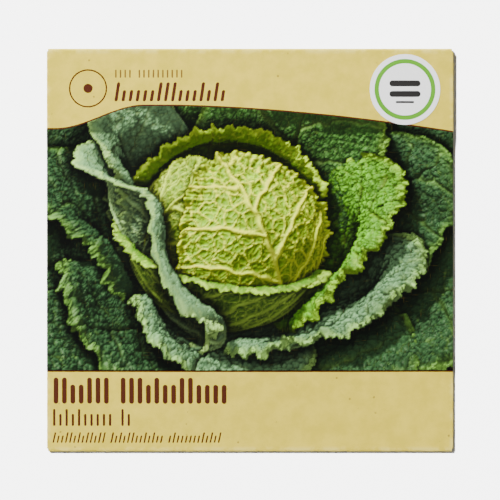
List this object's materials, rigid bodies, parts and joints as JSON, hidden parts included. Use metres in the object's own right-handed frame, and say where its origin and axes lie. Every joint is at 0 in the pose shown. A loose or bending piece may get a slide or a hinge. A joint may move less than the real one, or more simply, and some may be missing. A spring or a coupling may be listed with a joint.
{
  "type": "seed packet",
  "caption": "Flat square seed packet folded from one sheet of printed kraft paper, with a sticker and loose seeds.",
  "frame": {"origin": "middle of the packet's back, where it rests", "axes": "+Z out of the printed front, +Y towards the closing flap, +X to the right seen from the front"},
  "size_m": [0.115, 0.114, 0.0034],
  "materials": {
    "printed_paper": "uncoated straw-coloured kraft paper with fibres, printed on the front",
    "dried_glue": "thin dried glue, slightly glossy",
    "sticker_paper": "smooth white label paper",
    "seed_coat": "matt dark red-brown seed coat"
  },
  "bodies": {
    "root": {"paper_bag": "printed_paper", "side_glue_left": "dried_glue", "side_glue_right": "dried_glue", "flap_glue": "dried_glue", "badge_sticker": "sticker_paper", "seed_01": "seed_coat", "seed_02": "seed_coat", "seed_03": "seed_coat", "seed_04": "seed_coat", "seed_05": "seed_coat", "seed_06": "seed_coat", "seed_07": "seed_coat", "seed_08": "seed_coat", "seed_09": "seed_coat", "seed_10": "seed_coat", "seed_11": "seed_coat", "seed_12": "seed_coat", "seed_13": "seed_coat", "seed_14": "seed_coat", "seed_15": "seed_coat", "seed_16": "seed_coat", "seed_17": "seed_coat", "seed_18": "seed_coat", "seed_19": "seed_coat", "seed_20": "seed_coat", "seed_21": "seed_coat", "seed_22": "seed_coat", "seed_23": "seed_coat", "seed_24": "seed_coat", "seed_25": "seed_coat", "seed_26": "seed_coat", "seed_27": "seed_coat", "seed_28": "seed_coat", "seed_29": "seed_coat", "seed_30": "seed_coat", "seed_31": "seed_coat", "seed_32": "seed_coat", "seed_33": "seed_coat", "seed_34": "seed_coat", "seed_35": "seed_coat", "seed_36": "seed_coat", "seed_37": "seed_coat", "seed_38": "seed_coat", "seed_39": "seed_coat", "seed_40": "seed_coat"}
  },
  "joints": []
}
